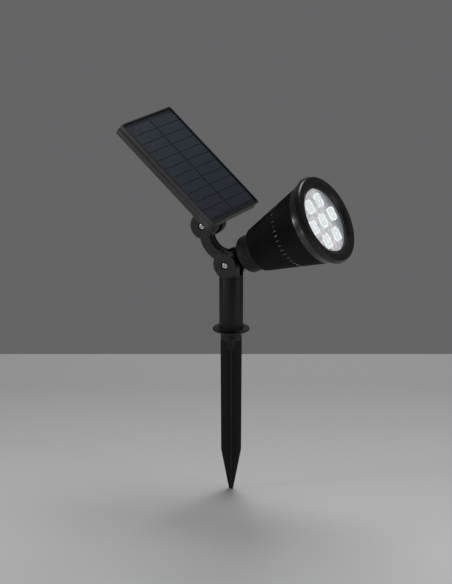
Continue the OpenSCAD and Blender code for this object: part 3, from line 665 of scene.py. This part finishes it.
def optic_places():
    """The centre and six places round it, in the head's frame."""
    outermost = extent("led_chips", HEAD)[1].x
    half_chip, step, first = 2.5, radians(60), radians(35)
    nearest_axis = first - step * round(first / step)
    ring_r = (outermost - half_chip) / cos(nearest_axis)
    turns = [first + k * step for k in range(6)]
    return [(0, 0)] + [(ring_r * cos(turn), ring_r * sin(turn)) for turn in turns]


def at_each_optic(shape):
    return join_shapes(*[moved(shape, Matrix.Translation((x, y, 0))) for x, y in optic_places()])


def optic_cups(top):
    """Rounded square rims standing on the carrier, one over each light source."""
    profile = [(0, top - 0.6), (0, top, 0.4), (OPTIC_WALL, top, 0.4), (OPTIC_WALL, top - 0.6)]
    return at_each_optic(framed(fillet(profile, steps=4), OPTIC_HALF, OPTIC_HALF, OPTIC_CORNER))


def optic_wells(top):
    """The flat floors inside the rims, rounded at their upper edge."""
    half = OPTIC_HALF - OPTIC_WALL - 0.05
    return at_each_optic(slab(half, half, 1.4, top - 0.6, top - 0.2, edge=0.3))


def optic_bars(top):
    """A short bright bar in the middle of each well: the source seen through its lens."""
    return at_each_optic(slab(1.9, 0.8, 0.6, top - 0.5, top - 0.05, edge=0.15))


def optic_carrier():
    """The plate that carries the optics, with a light cone under each one."""
    low, high = extent("optic_array", HEAD)
    top = high.z - 0.45
    plate = turned(fillet([(0, top - 0.75), (high.x, top - 0.75, 0.2), (high.x, top, 0.2), (0, top)],
                          steps=3), steps=96)
    cone = turned([(0, low.z + 4.7), (2.9, low.z + 4.6), (3, low.z), (4.6, low.z), (9.7, top - 0.8),
                   (0, top - 0.8)], steps=48)
    return join_shapes(plate, at_each_optic(cone))


def head_piece(name, shape, look, nodes=()):
    make_piece(name, shape, HEAD, "head", LOOKS[look], nodes)


def build_optics():
    top = extent("optic_array", HEAD)[1].z
    head_piece("optic_carrier", optic_carrier(), "optic_clear", ["optic_array"])
    head_piece("optic_cups", optic_cups(top), "optic_rim")
    head_piece("optic_wells", optic_wells(top), "optic_well")
    head_piece("optic_bars", optic_bars(top), "optic_rim")


def build_head():
    head_piece("lamp_shell", lamp_shell(), "rib_black", ["lamp_housing"])
    head_piece("collar", collar(), "collar_black")
    head_piece("shoulder", shoulder(), "post_black")
    head_piece("grip_bars", grip_bars(), "collar_black")
    head_piece("drain_plug", drain_plug(), "black_rubber")
    head_piece("bezel", bezel(), "gloss_black", ["bezel_ring"])
    build_optics()


# ---- Stage, light and camera -------------------------------------------------------------------

def aimed(location, target):
    back = (Vector(location) - Vector(target)).normalized()
    return Matrix.Translation(location) @ back.to_track_quat("Z", "Y").to_matrix().to_4x4()


VIEW_TURN = radians(28.49)
VIEW_RISE = radians(17.54)


def camera():
    """The camera, turned from a straight side view and raised. It aims near the object's middle."""
    distance, seen_height = 2.016, 0.584
    target = Vector((-0.00457, -0.00248, 0.03908))
    back = Vector((cos(VIEW_RISE) * sin(VIEW_TURN), -cos(VIEW_RISE) * cos(VIEW_TURN), sin(VIEW_RISE)))
    data = bpy.data.cameras.new("camera")
    data.sensor_width = 36
    data.lens = data.sensor_width * distance / seen_height
    view = bpy.data.objects.new("camera", data)
    bpy.context.scene.collection.objects.link(view)
    view.matrix_world = aimed(target + back * distance, target)
    bpy.context.scene.camera = view


def floor():
    """A pale floor at the spike's tip, lighter towards the camera and darker towards the backdrop: painted light
    and shade. Its far edge is the line where it meets the plain backdrop.
    """
    near, far, side = 2.6, 0.418, 2.6
    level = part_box("ground_spike")[0].z
    corners = [(-side, -near, 0), (side, -near, 0), (side, far, 0), (-side, far, 0)]
    mesh = bpy.data.meshes.new("floor")
    mesh.from_pydata(corners, [], [(0, 1, 2, 3)])
    plane = bpy.data.objects.new("floor", mesh)
    bpy.context.scene.collection.objects.link(plane)
    plane.matrix_world = Matrix.Translation((0, 0, level)) @ Matrix.Rotation(VIEW_TURN, 4, "Z")
    look = Look("floor_paper", (0.45, 0.45, 0.455), 0.75)
    # Painted light: the floor's colour goes lighter towards the camera and darker towards the backdrop.
    depth = look.add("ShaderNodeSeparateXYZ", {"Vector": look.place}).outputs["Y"]
    look.vary_colour(depth, (0.80, 0.80, 0.805), 0.3, -0.15)
    look.vary_roughness(look.noise(40), 0.04)
    look.bump(look.noise(1.5), 0.03, 0.05)
    mesh.materials.append(look.material)


def softbox(name, azimuth, elevation, distance, width, height, power):
    """A rectangular light aimed at the origin. Angles in degrees, lengths in metres, power in watts."""
    a, e = radians(azimuth), radians(elevation)
    data = bpy.data.lights.new(name, "AREA")
    data.shape, data.size, data.size_y = "RECTANGLE", width, height
    data.energy = power
    light = bpy.data.objects.new(name, data)
    bpy.context.scene.collection.objects.link(light)
    spot = Vector((cos(e) * cos(a), cos(e) * sin(a), sin(e))) * distance
    light.matrix_world = aimed(spot, Vector((0, 0, 0)))


def studio():
    world = bpy.data.worlds.new("backdrop")
    world.use_nodes = True
    world.node_tree.nodes["Background"].inputs["Color"].default_value = (0.128, 0.129, 0.132, 1)
    bpy.context.scene.world = world
    bpy.context.scene.view_settings.view_transform = "Standard"
    softbox("left_box", -138, 8, 1.5, 0.3, 0.4, 3)
    softbox("low_box", -99, -5, 1.4, 0.25, 0.15, 1.1)
    softbox("right_box", -2, 0, 1.6, 0.3, 0.9, 5)
    softbox("top_box", 105, 66, 1.5, 0.9, 0.9, 13.5)


# ---- Build -------------------------------------------------------------------------------------

dress_cad_nodes()
build_panel()
build_head()
camera()
floor()
studio()
